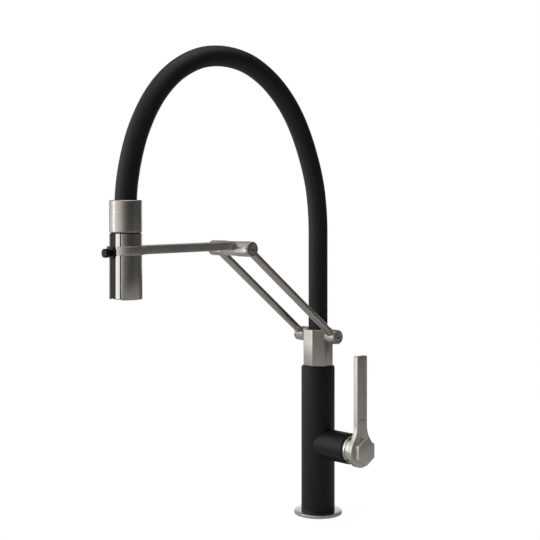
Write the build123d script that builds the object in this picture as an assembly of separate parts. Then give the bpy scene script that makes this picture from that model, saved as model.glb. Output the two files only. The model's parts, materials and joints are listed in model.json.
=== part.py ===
from build123d import *
import math
import os

# A single-lever pull-down kitchen faucet: column with a side cartridge stub, a swivelling spout
# made of two link rods, a flat arm with a C-shaped ring, a rubber hose arch and a spray head.
# Millimetres, +Z up, origin on the deck at the column's axis, spout towards -Y, lever at +X.

# ---- driving dimensions -------------------------------------------------------------------
FIT = 0.05                      # radial clearance of a running fit
GAP = 0.3                       # clearance between curved faces of different bodies

FLANGE_R, FLANGE_H = 27.1, 3.5
COLUMN_R, COLUMN_TOP = 19.0, 168.0
BLOCK_R, BLOCK_TOP = 14.95, 58.0
INLET_X, INLET_Y, INLET_R, INLET_DEPTH = 4.0, 6.5, 4.45, 12.0      # M10x1 female
STUD_X, STUD_R, STUD_DEPTH = -9.0, 3.4, 20.0                       # M8 female
PASSAGE_R = 2.3
OUTLET_Z_RISE = 6.5             # outlet port above the cartridge axis
PORT_Z_DROP = 4.0               # hot and cold ports below it

STUB_Z, STUB_R, STUB_END = 80.5, 17.0, 50.8
CARTRIDGE_SEAT, CARTRIDGE_R, NUT_START = 13.0, 13.0, 38.5
PIVOT_X = 35.5                  # where the lever's tilt axis crosses the cartridge axis
COVER_R, COVER_BORE, COVER_END = 15.5, 13.9, 54.3
HUB_SPHERE_R = 24.9             # the hub is hollowed about the tilt axis to clear the cover ring
LEVER_BACK, LEVER_FRONT = 61.3, 67.3
LEVER_HEAD_R, LEVER_HALF_W, LEVER_TIP_Z = 18.0, 8.0, 185.0
HEX_R, HEX_FRONT = 15.3, 73.8

BUSH_R, SPIGOT_R, BUSH_BOTTOM = 14.0, 12.0, 136.0
WASHER_H = 1.0
COLLAR_APOTHEM, COLLAR_TOP = 16.5, 210.0

LOW_PIVOT_Z = 202.6
HIGH_PIVOT_S, HIGH_PIVOT_Z = 131.0, 305.0      # S is the distance from the column towards -Y
PIN_R, BARREL_APOTHEM = 4.0, 7.7
BARREL_END, CAP_END, CAP_R = 29.2, 31.5, 7.9
ROD_X, ROD_R = 24.6, 4.2
ARM_HALF_W, ARM_TOP, ARM_BOTTOM = 10.0, 312.0, 303.7
ARM_DROOP = 0.8

HEAD_S, HEAD_R = 270.0, 16.05
RING_BORE, RING_R, RING_GAP_DEG = 16.35, 18.7, 24.0
HEAD_BOTTOM, HEAD_TOP = 259.7, 323.5
FERRULE_BOTTOM, FERRULE_TOP = 324.4, 355.9
SHELL_BORE, SHELL_EDGE_DEG, LAND_EDGE_DEG = 14.2, 37.2, 33.3
CORE_R, LAND_R, CHANNEL_HALF_W, CHANNEL_FLOOR = 14.0, 15.9, 4.6, 12.6
BUTTON_Z, BUTTON_SHAFT_R, BUTTON_HEAD_R = 305.0, 3.2, 4.4

HOSE_R, HOSE_BORE, INNER_HOSE_R, INNER_HOSE_BORE = 10.9, 7.2, 6.0, 4.2
SHEATH_BOTTOM, SHEATH_TOP = 206.6, 351.7
INNER_BOTTOM, INNER_TOP = 190.2, 340.2
# the arch's route between its two straight ends, as (S, Z), from the column over to the head
HOSE_ROUTE = [(0, 339), (6, 379), (22, 421), (40, 452), (61, 475), (84, 492), (111, 504),
              (141, 508), (170, 505), (195, 495), (217, 480), (237, 458), (253, 430),
              (263, 402), (270, 367)]

LINK_LENGTH = math.hypot(HIGH_PIVOT_S, HIGH_PIVOT_Z - LOW_PIVOT_Z)
LINK_ANGLE = math.degrees(math.atan2(HIGH_PIVOT_Z - LOW_PIVOT_Z, HIGH_PIVOT_S))
HEAD_AXIS = Location((0, -HEAD_S, 0))


# ---- helpers ------------------------------------------------------------------------------
def bar(start, direction, radius, length):
    """A round bar of the given length from a point along a direction."""
    return Plane(origin=start, z_dir=direction) * Cylinder(
        radius, length, align=(Align.CENTER, Align.CENTER, Align.MIN))


def upright(radius, bottom, top, x=0.0, y=0.0):
    """A vertical cylinder between two heights."""
    return bar((x, y, bottom), (0, 0, 1), radius, top - bottom)


def along_x(radius, start, end, y=0.0, z=0.0):
    """A cylinder along X between two stations."""
    return bar((start, y, z), (1, 0, 0), radius, end - start)


def along_y(radius, start, end, x=0.0, z=0.0):
    """A cylinder along Y between two stations."""
    return bar((x, start, z), (0, 1, 0), radius, end - start)


def block(x0, x1, y0, y1, z0, z1):
    """A box between two opposite corners."""
    corner = (Align.MIN, Align.MIN, Align.MIN)
    return Pos(x0, y0, z0) * Box(x1 - x0, y1 - y0, z1 - z0, align=corner)


def front_sector(half_angle, radius, bottom, top):
    """A wedge about the head's axis, open towards -Y, the given angle each way."""
    corners = [(0, 0)]
    for step in range(-4, 5):
        angle = math.radians(half_angle * step / 4)
        corners.append((radius * math.sin(angle), -radius * math.cos(angle)))
    wedge = extrude(make_face(Polyline(*corners, close=True)), top - bottom)
    return HEAD_AXIS * Pos(0, 0, bottom) * wedge


def hexagon_x(corner_r, start, end, y, z):
    """A hexagonal prism along X with two corners pointing along Y."""
    face = Plane(origin=(start, y, z), x_dir=(0, 1, 0), z_dir=(1, 0, 0)) * RegularPolygon(corner_r, 6)
    return extrude(face, end - start)


def both_sides(shape):
    """A shape and its mirror image across the arm's plane."""
    return [shape, mirror(shape, about=Plane.YZ)]


# ---- column and deck side -----------------------------------------------------------------
GASKET_R0, GASKET_R1, GASKET_H = 19.0, 24.0, 1.2


def base_flange():
    disc = upright(FLANGE_R, 0, FLANGE_H) - upright(BLOCK_R + FIT, 0, FLANGE_H)
    disc = disc - (upright(GASKET_R1, 0, GASKET_H) - upright(GASKET_R0, 0, GASKET_H))
    rim = disc.edges().filter_by(GeomType.CIRCLE).sort_by(Axis.Z)[-2:].sort_by(lambda e: e.radius)[-1]
    return fillet(rim, 0.7)


def base_gasket():
    return upright(GASKET_R1, 0, GASKET_H) - upright(GASKET_R0, 0, GASKET_H)


def ports(start, end, radius):
    """The hot, cold and outlet bores of the cartridge, as cutters along X."""
    cutters = [along_x(radius, start, end, side * INLET_Y, STUB_Z - PORT_Z_DROP) for side in (-1, 1)]
    return cutters + [along_x(radius, start, end, 0, STUB_Z + OUTLET_Z_RISE)]


def inlet_block():
    """The brass foot that takes the two supply hoses and the mounting stud."""
    foot = upright(BLOCK_R, 0, BLOCK_TOP)
    for side in (-1, 1):
        foot -= upright(INLET_R, 0, INLET_DEPTH, INLET_X, side * INLET_Y)
        foot -= upright(PASSAGE_R, INLET_DEPTH, BLOCK_TOP, INLET_X, side * INLET_Y)
    return foot - upright(STUD_R, 0, STUD_DEPTH, STUD_X, 0)


def body_column():
    """The column with its side stub, bored for the inlets, the cartridge and the swivel."""
    column = upright(COLUMN_R, FLANGE_H, COLUMN_TOP)
    column = fillet(column.edges().filter_by(GeomType.CIRCLE).sort_by(Axis.Z)[-1], 1.8)
    stub = along_x(STUB_R, 0, STUB_END, 0, STUB_Z)
    stub = chamfer(stub.edges().filter_by(GeomType.CIRCLE).sort_by(Axis.X)[-1], 0.6)
    body = column + stub
    body -= upright(BLOCK_R + FIT, FLANGE_H, BLOCK_TOP)
    body -= along_x(CARTRIDGE_R, CARTRIDGE_SEAT, NUT_START, 0, STUB_Z)
    body -= along_x(CARTRIDGE_R + 1.5, NUT_START, STUB_END, 0, STUB_Z)
    body -= upright(BUSH_R, BUSH_BOTTOM - 8, COLUMN_TOP)
    for side in (-1, 1):
        body -= upright(PASSAGE_R, BLOCK_TOP, STUB_Z - PORT_Z_DROP, INLET_X, side * INLET_Y)
    body -= upright(PASSAGE_R + 1, STUB_Z + OUTLET_Z_RISE, BUSH_BOTTOM - 8)
    for cutter in ports(0, CARTRIDGE_SEAT, PASSAGE_R)[2:]:
        body -= cutter
    for cutter in ports(INLET_X, CARTRIDGE_SEAT, PASSAGE_R)[:2]:
        body -= cutter
    return body


# ---- cartridge and lever ------------------------------------------------------------------
SEAL_END, CARTRIDGE_FLOOR, DISC_H = 13.8, 17.0, 3.0
SPINDLE_R, SPINDLE_END, SLOT_START, SLOT_HALF = 10.0, 41.5, 29.0, 4.1
STEM_R, STEM_BACK, BOSS_R, BOSS_BACK, CROSS_PIN_R = 4.0, 32.0, 5.5, 53.5, 1.5
NUT_BORE, NUT_END, SHANK_R, SCREW_R = 10.5, 45.5, 9.0, 4.0


def with_ports(shape, start, end):
    for cutter in ports(start, end, PASSAGE_R):
        shape -= cutter
    return shape


def cartridge_seal():
    return with_ports(along_x(CARTRIDGE_R - FIT, CARTRIDGE_SEAT, SEAL_END, 0, STUB_Z),
                      CARTRIDGE_SEAT, SEAL_END)


def cartridge_body():
    case = along_x(CARTRIDGE_R - FIT, SEAL_END, NUT_START, 0, STUB_Z)
    case -= along_x(SPINDLE_R + FIT, CARTRIDGE_FLOOR, NUT_START, 0, STUB_Z)
    return with_ports(case, SEAL_END, CARTRIDGE_FLOOR)


def fixed_disc():
    """The lower ceramic disc, which the three ports open through."""
    return with_ports(along_x(SPINDLE_R, CARTRIDGE_FLOOR, CARTRIDGE_FLOOR + DISC_H, 0, STUB_Z),
                      CARTRIDGE_FLOOR, CARTRIDGE_FLOOR + DISC_H)


def moving_disc():
    """The upper ceramic disc, with the pocket that joins the ports."""
    start = CARTRIDGE_FLOOR + DISC_H
    return (along_x(SPINDLE_R - 0.2, start, start + DISC_H, 0, STUB_Z)
            - along_x(6.0, start, start + 1.5, 0, STUB_Z + 1.5))


def cartridge_nut():
    nut = along_x(CARTRIDGE_R + 1.5 - FIT, NUT_START, NUT_END, 0, STUB_Z)
    nut -= along_x(NUT_BORE, NUT_START, NUT_END, 0, STUB_Z)
    for turn in range(3):       # tool slots across the front face
        slot = block(NUT_END - 1.5, NUT_END, -1.5, 1.5, -20, 20)
        nut -= Pos(0, 0, STUB_Z) * Rot(60 * turn, 0, 0) * slot
    return nut


def cover_ring():
    """The bright fixed ring that closes the stub's mouth."""
    ring = along_x(COVER_R, STUB_END, COVER_END, 0, STUB_Z)
    ring += along_x(CARTRIDGE_R + 1.5 - FIT, NUT_END, STUB_END, 0, STUB_Z)
    ring -= along_x(COVER_BORE, NUT_END, COVER_END, 0, STUB_Z)
    rims = ring.edges().filter_by(GeomType.CIRCLE).filter_by(lambda e: abs(e.radius - COVER_R) < 0.01)
    return chamfer(rims, 0.35)


def temperature_spindle():
    """The turning part of the cartridge, slotted for the lever's stem."""
    start = CARTRIDGE_FLOOR + 2 * DISC_H
    spindle = along_x(SPINDLE_R, start, SPINDLE_END, 0, STUB_Z)
    spindle -= block(SLOT_START, SPINDLE_END, -SLOT_HALF, SLOT_HALF, STUB_Z - 20, STUB_Z + 20)
    return spindle - along_y(CROSS_PIN_R, -SPINDLE_R, SPINDLE_R, PIVOT_X, STUB_Z)


def stem_cross_pin():
    return along_y(CROSS_PIN_R, -8.5, 8.5, PIVOT_X, STUB_Z)


def lever_stem():
    stem = along_x(STEM_R, STEM_BACK, LEVER_BACK - 4, 0, STUB_Z)
    return stem - along_y(CROSS_PIN_R + FIT, -STEM_R, STEM_R, PIVOT_X, STUB_Z)


def lever_hub():
    """The moving half of the bright collar, hollowed about the tilt axis."""
    def on_sphere(radius):
        return PIVOT_X + math.sqrt(HUB_SPHERE_R ** 2 - radius ** 2)

    middle_r = (BOSS_R + COVER_R) / 2
    screw_end = LEVER_BACK - 4
    outline = Polyline(
        (on_sphere(COVER_R), COVER_R), (LEVER_BACK, COVER_R), (LEVER_BACK, SCREW_R - 1),
        (screw_end, SCREW_R - 1), (screw_end, STEM_R), (BOSS_BACK, STEM_R), (BOSS_BACK, BOSS_R),
        (on_sphere(BOSS_R), BOSS_R))
    hollow = ThreePointArc((on_sphere(BOSS_R), BOSS_R), (on_sphere(middle_r), middle_r),
                           (on_sphere(COVER_R), COVER_R))
    profile = Plane.XZ * make_face([outline, hollow])
    return Pos(0, 0, STUB_Z) * revolve(profile, Axis.X)


PANEL_HALF_W, PANEL_BOTTOM, PANEL_TOP, PANEL_DEPTH = 6.0, 114.5, 179.5, 1.0
LEVER_NECK_R = 26.0
LEVER_EDGE_R = 0.6


def lever():
    """The spanner-shaped lever: a ring head, a flat shaft and a long recessed panel."""
    half, tip = LEVER_HALF_W, LEVER_TIP_Z - STUB_Z
    # the neck's concave arcs are tangent to the shaft's sides and to the round head
    centre_x = half + LEVER_NECK_R
    centre_y = math.sqrt((LEVER_HEAD_R + LEVER_NECK_R) ** 2 - centre_x ** 2)
    share = LEVER_HEAD_R / (LEVER_HEAD_R + LEVER_NECK_R)
    touch_x, touch_y = centre_x * share, centre_y * share
    bend = math.radians(180) + math.atan2(centre_y, centre_x) / 2
    mid_x = centre_x + LEVER_NECK_R * math.cos(bend)
    mid_y = centre_y + LEVER_NECK_R * math.sin(bend)
    outline = [
        Polyline((-half, centre_y), (-half, tip), (half, tip), (half, centre_y)),
        ThreePointArc((half, centre_y), (mid_x, mid_y), (touch_x, touch_y)),
        ThreePointArc((touch_x, touch_y), (0, -LEVER_HEAD_R), (-touch_x, touch_y)),
        ThreePointArc((-touch_x, touch_y), (-mid_x, mid_y), (-half, centre_y)),
    ]
    face_plane = Plane(origin=(LEVER_BACK, 0, STUB_Z), x_dir=(0, 1, 0), z_dir=(1, 0, 0))
    plate = extrude(face_plane * make_face(outline), LEVER_FRONT - LEVER_BACK)
    tips = plate.edges().filter_by(Axis.X).sort_by(Axis.Z)[-2:]
    plate = fillet(tips, 1.2)
    rims = plate.faces().filter_by(Axis.X).edges()
    plate = fillet(rims, LEVER_EDGE_R)
    panel = block(LEVER_FRONT - PANEL_DEPTH, LEVER_FRONT, -PANEL_HALF_W, PANEL_HALF_W,
                  PANEL_BOTTOM, PANEL_TOP)
    panel = fillet(panel.edges().filter_by(Axis.X), 1.5)
    return plate - panel - along_x(SHANK_R, LEVER_BACK, LEVER_FRONT, 0, STUB_Z)


def hex_cap():
    """The hexagon screw that clamps the lever to its hub."""
    head = hexagon_x(HEX_R, LEVER_FRONT, HEX_FRONT, 0, STUB_Z)
    dome = along_x(HEX_R - 0.35, LEVER_FRONT, HEX_FRONT, 0, STUB_Z)
    dome = chamfer(dome.edges().filter_by(GeomType.CIRCLE).sort_by(Axis.X)[-1], 0.8)
    head = head & dome
    head += along_x(SHANK_R - FIT, LEVER_BACK, LEVER_FRONT, 0, STUB_Z)
    return head + along_x(SCREW_R - 1, LEVER_BACK - 4, LEVER_BACK, 0, STUB_Z)


# ---- swivel -------------------------------------------------------------------------------
STEM_BOTTOM, NECK_R, NECK_TOP, WATERWAY_R = 132.0, 9.5, 184.0, 6.0
CLIP_Z, CLIP_H, CLIP_R0, CLIP_R1 = 133.9, 1.6, 10.6, 13.2
O_RING_Z, O_RING_R, O_RING_WIRE = (143.0, 150.0), 11.15, 0.8
PIN_SPIGOT_R, PIN_SPIGOT_START = 3.0, 8.6


def swivel_bush():
    return upright(BUSH_R, BUSH_BOTTOM, COLUMN_TOP) - upright(SPIGOT_R + FIT, BUSH_BOTTOM, COLUMN_TOP)


def swivel_stem():
    """The hollow journal that turns in the bush and screws into the collar."""
    stem = upright(SPIGOT_R, STEM_BOTTOM, COLUMN_TOP) + upright(NECK_R, COLUMN_TOP, NECK_TOP)
    stem -= upright(WATERWAY_R, STEM_BOTTOM, NECK_TOP)
    for height in O_RING_Z:
        groove = upright(SPIGOT_R + 1, height - 0.9, height + 0.9)
        stem -= groove - upright(O_RING_R - O_RING_WIRE, height - 0.9, height + 0.9)
    clip_groove = upright(SPIGOT_R + 1, CLIP_Z, CLIP_Z + CLIP_H)
    return stem - (clip_groove - upright(CLIP_R0, CLIP_Z, CLIP_Z + CLIP_H))


def swivel_o_rings():
    return [Pos(0, 0, height) * Torus(O_RING_R, O_RING_WIRE) for height in O_RING_Z]


def retaining_clip():
    clip = upright(CLIP_R1, CLIP_Z, CLIP_Z + CLIP_H) - upright(CLIP_R0, CLIP_Z, CLIP_Z + CLIP_H)
    return clip - block(-3, 3, 0, 20, CLIP_Z, CLIP_Z + CLIP_H)


def thrust_washer():
    top = COLUMN_TOP + WASHER_H
    return upright(COLLAR_APOTHEM - 1, COLUMN_TOP, top) - upright(NECK_R + 0.1, COLUMN_TOP, top)


def swivel_collar():
    """The eight-sided collar that carries the linkage and the foot of the hose."""
    bottom = COLUMN_TOP + WASHER_H
    face = Rot(0, 0, 22.5) * RegularPolygon(COLLAR_APOTHEM, 8, major_radius=False)
    collar = Pos(0, 0, bottom) * extrude(face, COLLAR_TOP - bottom)
    collar = fillet(collar.edges().filter_by(Axis.Z), 0.5)
    collar = chamfer(collar.faces().sort_by(Axis.Z)[-1].edges(), 0.4)
    collar -= upright(NECK_R, bottom, NECK_TOP)
    collar -= upright(INNER_HOSE_R + 0.1, NECK_TOP, COLLAR_TOP)
    collar -= upright(HOSE_R + 0.1, SHEATH_BOTTOM, COLLAR_TOP)
    for start, end in ((PIN_SPIGOT_START, 18), (-18, -PIN_SPIGOT_START)):
        collar -= along_x(PIN_SPIGOT_R, start, end, 0, LOW_PIVOT_Z)
    return collar


def pivot_cap(height, s):
    """A round cap with a hexagon socket and a turned groove, on the +X side."""
    cap = along_x(CAP_R, BARREL_END, CAP_END, -s, height)
    cap = chamfer(cap.edges().filter_by(GeomType.CIRCLE).sort_by(Axis.X)[-1], 0.5)
    cap -= hexagon_x(2.6, CAP_END - 1.7, CAP_END, -s, height)
    groove = along_x(4.9, CAP_END - 0.4, CAP_END, -s, height)
    return cap - (groove - along_x(4.2, CAP_END - 0.4, CAP_END, -s, height))


def lower_pivot_pins():
    pin = along_x(PIN_SPIGOT_R, PIN_SPIGOT_START, COLLAR_APOTHEM, 0, LOW_PIVOT_Z)
    return both_sides(pin + along_x(PIN_R, COLLAR_APOTHEM, BARREL_END, 0, LOW_PIVOT_Z))


def lower_pivot_caps():
    return both_sides(pivot_cap(LOW_PIVOT_Z, 0))


# ---- linkage ------------------------------------------------------------------------------
LINK_DIR = (0, -math.cos(math.radians(LINK_ANGLE)), math.sin(math.radians(LINK_ANGLE)))
SOCKET_R, SOCKET_START = 3.0, 4.8


def on_link(distance, x):
    """A point on the link's centreline, a distance from the lower pivot."""
    return (x, distance * LINK_DIR[1], LOW_PIVOT_Z + distance * LINK_DIR[2])


def barrel(distance, sense, start, end, bore):
    """An eight-sided rod end about a pivot, with a socket that faces along the rod."""
    origin = on_link(distance, start)
    plane = Plane(origin=origin, x_dir=LINK_DIR, z_dir=(1, 0, 0))
    face = plane * Rot(0, 0, 22.5) * RegularPolygon(BARREL_APOTHEM, 8, major_radius=False)
    end_piece = extrude(face, end - start)
    end_piece = chamfer(end_piece.faces().sort_by(Axis.X)[-1].edges(), 0.4)
    end_piece -= bar(origin, (1, 0, 0), bore, end - start)
    direction = tuple(sense * part for part in LINK_DIR)
    socket_at = on_link(distance + sense * SOCKET_START, ROD_X)
    return end_piece - bar(socket_at, direction, SOCKET_R, BARREL_APOTHEM)


def lower_barrel():
    return barrel(0, 1, COLLAR_APOTHEM + GAP, BARREL_END - 0.1, PIN_R + FIT)


def upper_barrel():
    return barrel(LINK_LENGTH, -1, ARM_HALF_W + GAP, BARREL_END, PIN_R)


def link_rod():
    shoulder = BARREL_APOTHEM
    rod = bar(on_link(shoulder, ROD_X), LINK_DIR, ROD_R, LINK_LENGTH - 2 * shoulder)
    return rod + bar(on_link(SOCKET_START, ROD_X), LINK_DIR, SOCKET_R, LINK_LENGTH - 2 * SOCKET_START)


def upper_pivot_pin():
    return along_x(PIN_R, -BARREL_END, BARREL_END, -HIGH_PIVOT_S, HIGH_PIVOT_Z)


def upper_pivot_caps():
    return both_sides(pivot_cap(HIGH_PIVOT_Z, HIGH_PIVOT_S))


def spout_arm():
    """The flat arm with its pivot knuckle and the C-shaped ring that holds the head."""
    root_y, ring_y = -HIGH_PIVOT_S, -HEAD_S
    plan = Pos(0, (root_y + ring_y) / 2) * Rectangle(2 * ARM_HALF_W, root_y - ring_y)
    plan += Pos(0, ring_y) * Circle(RING_R)
    inner = [v for v in plan.vertices() if ring_y + 5 < v.Y < root_y - 5]
    plan = fillet(inner, 12)
    slab = Pos(0, 0, ARM_BOTTOM - 5) * extrude(plan, 20)
    low, high = ARM_BOTTOM, ARM_TOP
    near_ring = ring_y + RING_R
    side = Polygon((root_y, low), (root_y, high), (near_ring, high - ARM_DROOP),
                   (ring_y - 30, high - ARM_DROOP), (ring_y - 30, low - ARM_DROOP),
                   (near_ring, low - ARM_DROOP), align=None)
    profile = extrude(Plane(origin=(-30, 0, 0), x_dir=(0, 1, 0), z_dir=(1, 0, 0)) * side, 60)
    arm = slab & profile
    arm += along_x(BARREL_APOTHEM, -ARM_HALF_W, ARM_HALF_W, root_y, HIGH_PIVOT_Z)
    arm -= along_x(PIN_R + FIT, -ARM_HALF_W, ARM_HALF_W, root_y, HIGH_PIVOT_Z)
    arm -= HEAD_AXIS * upright(RING_BORE, low - 5, high + 5)
    return arm - front_sector(RING_GAP_DEG, RING_R + 10, low - 5, high + 5)


# ---- hose ---------------------------------------------------------------------------------
def corner_radii(points):
    """For each inner corner, the largest arc its two runs leave room for."""
    radii = []
    for before, here, after in zip(points, points[1:], points[2:]):
        first, second = here - before, after - here
        half_turn = math.radians(first.get_angle(second)) / 2
        radii.append(0.45 * min(first.length, second.length) / math.tan(half_turn))
    return radii


def hose_path(bottom, top):
    route = [(0, bottom)] + HOSE_ROUTE + [(HEAD_S, top)]
    points = [Vector(0, -s, z) for s, z in route]
    radii = corner_radii(points)
    return FilletPolyline(*points, radius=radii), radii


def hose(outer, bore, bottom, top):
    path, radii = hose_path(bottom, top)
    ring = Plane(origin=(0, 0, bottom)) * (Circle(outer) - Circle(bore))
    solid = sweep(ring, path=path)
    expected = math.pi * (outer ** 2 - bore ** 2) * path.length
    print(f"hose length {path.length:.1f}, volume / (section x length) {solid.volume / expected:.4f}")
    print("radii", [round(r) for r in radii])
    return solid


def hose_sheath():
    return hose(HOSE_R, HOSE_BORE, SHEATH_BOTTOM, SHEATH_TOP)


def inner_hose():
    return hose(INNER_HOSE_R, INNER_HOSE_BORE, INNER_BOTTOM, INNER_TOP)


def barbed_tail(y, shoulder_end, hose_end, reach):
    """A brass tail: a shoulder in the metal part and a barb inside the inner hose."""
    low, high = sorted((shoulder_end, hose_end))
    tail = upright(INNER_HOSE_R - FIT, low, high, 0, y)
    low, high = sorted((hose_end, hose_end + reach))
    tail += upright(INNER_HOSE_BORE - 0.1, low, high, 0, y)
    low, high = sorted((shoulder_end, hose_end + reach))
    return tail - upright(INNER_HOSE_BORE - 1.2, low, high, 0, y)


def hose_tail_lower():
    return barbed_tail(0, NECK_TOP + 0.2, INNER_BOTTOM - 0.1, 12)


def hose_tail_upper():
    return barbed_tail(-HEAD_S, THREAD_TOP + 0.5, INNER_TOP - 0.1, 10)


# ---- spray head ---------------------------------------------------------------------------
THREAD_R, THREAD_TOP = 10.0, 333.8
CORE_BOTTOM, NOZZLE_BOTTOM, NOZZLE_TOP, NOZZLE_R = 261.0, 260.2, 263.4, 12.6
AERATOR_R, AERATOR_BOTTOM, AERATOR_TOP = 5.6, 259.9, 267.0
WATER_BORE, VALVE_BOTTOM = 5.0, 311.5
BEZEL_R, BEZEL_H, BEZEL_NECK_R, BEZEL_FACE = 5.75, 1.6, 4.3, 16.15
COVER_FRONT = 14.6
SPOOL_END, SPRING_DEPTH = 6.0, -6.5


def ferrule():
    """The round sleeve that joins the hose to the head."""
    sleeve = upright(HEAD_R, FERRULE_BOTTOM, FERRULE_TOP)
    sleeve = chamfer(sleeve.edges().filter_by(GeomType.CIRCLE), 0.8)
    sleeve -= upright(THREAD_R, FERRULE_BOTTOM, THREAD_TOP)
    sleeve -= upright(INNER_HOSE_R + 0.1, THREAD_TOP, FERRULE_TOP)
    return HEAD_AXIS * (sleeve - upright(HOSE_R + 0.1, SHEATH_TOP, FERRULE_TOP))


def neck_seal():
    ring = upright(HEAD_R - 1.6, HEAD_TOP, FERRULE_BOTTOM) - upright(THREAD_R, HEAD_TOP, FERRULE_BOTTOM)
    return HEAD_AXIS * ring


def spray_core():
    """The polished body of the head, with two front lands and a channel between them."""
    core = HEAD_AXIS * upright(CORE_R, CORE_BOTTOM, HEAD_TOP)
    land = HEAD_AXIS * upright(LAND_R, CORE_BOTTOM, HEAD_TOP)
    core += land & front_sector(LAND_EDGE_DEG, 3 * LAND_R, CORE_BOTTOM, HEAD_TOP)
    core += HEAD_AXIS * upright(THREAD_R - FIT, HEAD_TOP, THREAD_TOP)
    core -= block(-CHANNEL_HALF_W, CHANNEL_HALF_W, -HEAD_S - 20, -HEAD_S - CHANNEL_FLOOR,
                  CORE_BOTTOM, HEAD_TOP)
    core -= HEAD_AXIS * upright(NOZZLE_R, CORE_BOTTOM, NOZZLE_TOP)
    core -= HEAD_AXIS * upright(WATER_BORE, NOZZLE_TOP, BUTTON_Z - 8)
    core -= HEAD_AXIS * upright(WATER_BORE, VALVE_BOTTOM, THREAD_TOP)
    core -= HEAD_AXIS * upright(1.6, BUTTON_Z - 8, VALVE_BOTTOM)
    return core - along_y(BUTTON_SHAFT_R + FIT, -HEAD_S - 14, -HEAD_S - SPRING_DEPTH, 0, BUTTON_Z)


def spray_shell():
    """The brushed sleeve round the head's back, open at the front."""
    shell = HEAD_AXIS * (upright(HEAD_R, HEAD_BOTTOM, HEAD_TOP) - upright(SHELL_BORE, HEAD_BOTTOM, HEAD_TOP))
    return shell - front_sector(SHELL_EDGE_DEG, 3 * HEAD_R, HEAD_BOTTOM, HEAD_TOP)


def channel_cover():
    """The black strip that lines the channel between the lands."""
    strip = block(-CHANNEL_HALF_W + FIT, CHANNEL_HALF_W - FIT, -HEAD_S - COVER_FRONT,
                  -HEAD_S - CHANNEL_FLOOR, CORE_BOTTOM, HEAD_TOP - 0.3)
    return strip - along_y(BEZEL_NECK_R, -HEAD_S - 20, -HEAD_S - CHANNEL_FLOOR, 0, BUTTON_Z)


def nozzle_plate():
    """The black rose with its ring of spray holes."""
    plate = upright(NOZZLE_R - FIT, NOZZLE_BOTTOM, NOZZLE_TOP) - upright(AERATOR_R, NOZZLE_BOTTOM, NOZZLE_TOP)
    for count, radius in ((12, 7.6), (18, 10.4)):
        for hole in PolarLocations(radius, count):
            plate -= hole * Pos(0, 0, NOZZLE_BOTTOM) * Cylinder(
                0.6, NOZZLE_TOP - NOZZLE_BOTTOM, align=(Align.CENTER, Align.CENTER, Align.MIN))
    return HEAD_AXIS * plate


def aerator():
    insert = upright(AERATOR_R - FIT, AERATOR_BOTTOM, NOZZLE_TOP) + upright(WATER_BORE - FIT, NOZZLE_TOP, AERATOR_TOP)
    for hole in PolarLocations(3.0, 6):
        insert -= hole * Pos(0, 0, AERATOR_BOTTOM) * Cylinder(
            0.9, AERATOR_TOP - AERATOR_BOTTOM, align=(Align.CENTER, Align.CENTER, Align.MIN))
    return HEAD_AXIS * insert


def check_valve():
    valve = upright(WATER_BORE - FIT, VALVE_BOTTOM, VALVE_BOTTOM + 10)
    return HEAD_AXIS * (valve - upright(2.2, VALVE_BOTTOM + 3, VALVE_BOTTOM + 10)
                        - upright(1.6, VALVE_BOTTOM, VALVE_BOTTOM + 3))


def button_bezel():
    face = -HEAD_S - BEZEL_FACE
    bezel = along_y(BEZEL_R, face - BEZEL_H, face, 0, BUTTON_Z)
    bezel = chamfer(bezel.edges().filter_by(GeomType.CIRCLE).sort_by(Axis.Y)[0], 0.4)
    bezel += along_y(BEZEL_NECK_R - FIT, face, -HEAD_S - CHANNEL_FLOOR, 0, BUTTON_Z)
    return bezel - along_y(BUTTON_SHAFT_R + FIT, face - BEZEL_H, -HEAD_S - CHANNEL_FLOOR, 0, BUTTON_Z)


def diverter_button():
    """The push button: a waisted head and a shaft that carries the valve spool."""
    tip, shoulder = -HEAD_S - 25.8, -HEAD_S - 21.6
    head = along_y(BUTTON_HEAD_R, tip, shoulder, 0, BUTTON_Z)
    head = fillet(head.edges().filter_by(GeomType.CIRCLE), 0.6)
    shaft = along_y(BUTTON_SHAFT_R, shoulder, -HEAD_S - SPOOL_END + 4, 0, BUTTON_Z)
    groove = along_y(BUTTON_SHAFT_R + 1, -HEAD_S - SPOOL_END, -HEAD_S - SPOOL_END + 2.5, 0, BUTTON_Z)
    core = along_y(2.0, -HEAD_S - SPOOL_END, -HEAD_S - SPOOL_END + 2.5, 0, BUTTON_Z)
    return head + (shaft - (groove - core))


def button_spring():
    """The coil that returns the button."""
    start, end = -HEAD_S - SPOOL_END + 4.4, -HEAD_S - SPRING_DEPTH - 0.4
    coil_r, wire = 2.5, 0.32
    helix = Helix(pitch=(end - start) / 5, height=end - start, radius=coil_r)
    section = Plane(origin=helix @ 0, z_dir=helix % 0) * Circle(wire)
    coil = sweep(section, path=helix, is_frenet=True)
    return Plane(origin=(0, start, BUTTON_Z), z_dir=(0, 1, 0)) * coil


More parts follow.
